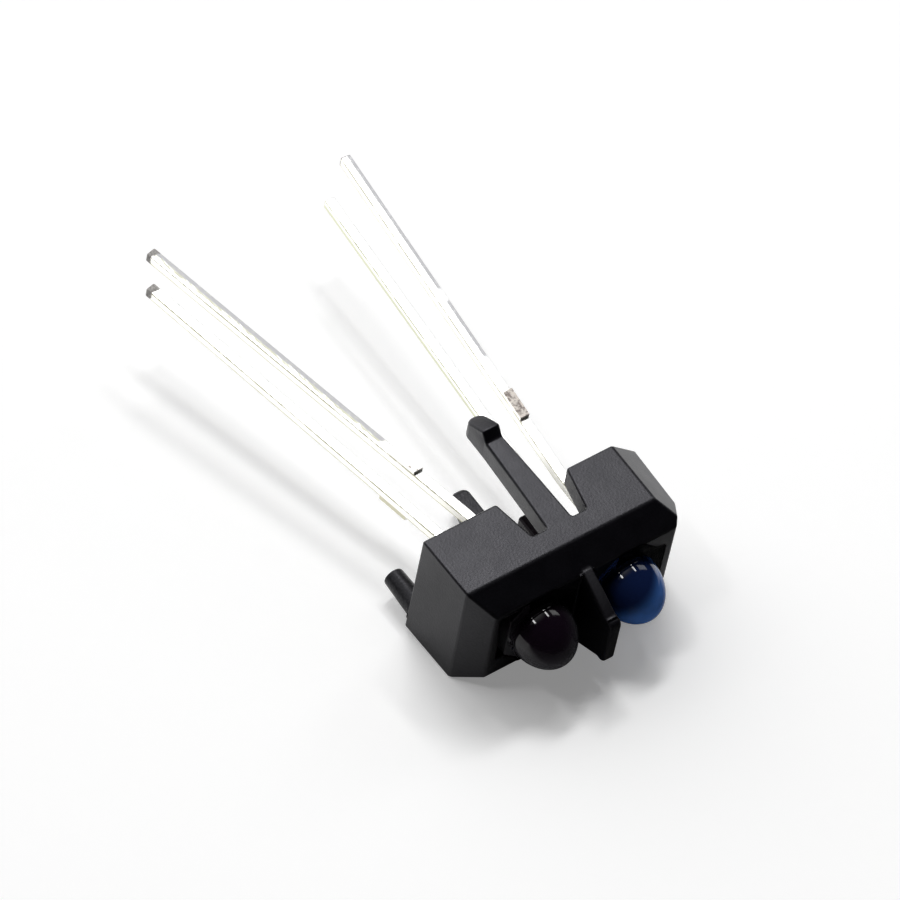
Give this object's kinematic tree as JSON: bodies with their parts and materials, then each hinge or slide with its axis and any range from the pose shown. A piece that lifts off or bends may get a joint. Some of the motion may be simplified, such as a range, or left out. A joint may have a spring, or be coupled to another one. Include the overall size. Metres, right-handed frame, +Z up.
{
  "type": "reflective optical sensor",
  "caption": "Infrared emitter and detector side by side in a black clip-in housing with a blade between the lenses and long splayed leads.",
  "frame": {"origin": "centre of the board face of the housing, on the web between the two lens pockets", "axes": "+Y from the board face towards the lead tips, -Y towards the lenses, +X towards the emitter's end, +Z up from the surface the part lies on; the part lies on one long side, turned 4.65 degrees about X by its lower clip"},
  "size_m": [0.0112, 0.0236, 0.0066],
  "materials": {
    "housing": "matte black moulding",
    "blue_epoxy": "clear epoxy dyed blue",
    "black_epoxy": "glossy black infrared filter epoxy",
    "leads": "bright tin over steel",
    "chips": "dark grey semiconductor",
    "bond_wires": "bright gold wire"
  },
  "bodies": {
    "root": {"housing": "housing", "emitter_body": "blue_epoxy", "emitter_cathode_lead": "leads", "emitter_anode_lead": "leads", "emitter_chip": "chips", "emitter_bond_wire": "bond_wires", "detector_body": "black_epoxy", "detector_collector_lead": "leads", "detector_emitter_lead": "leads", "detector_chip": "chips", "detector_bond_wire": "bond_wires"}
  },
  "joints": []
}
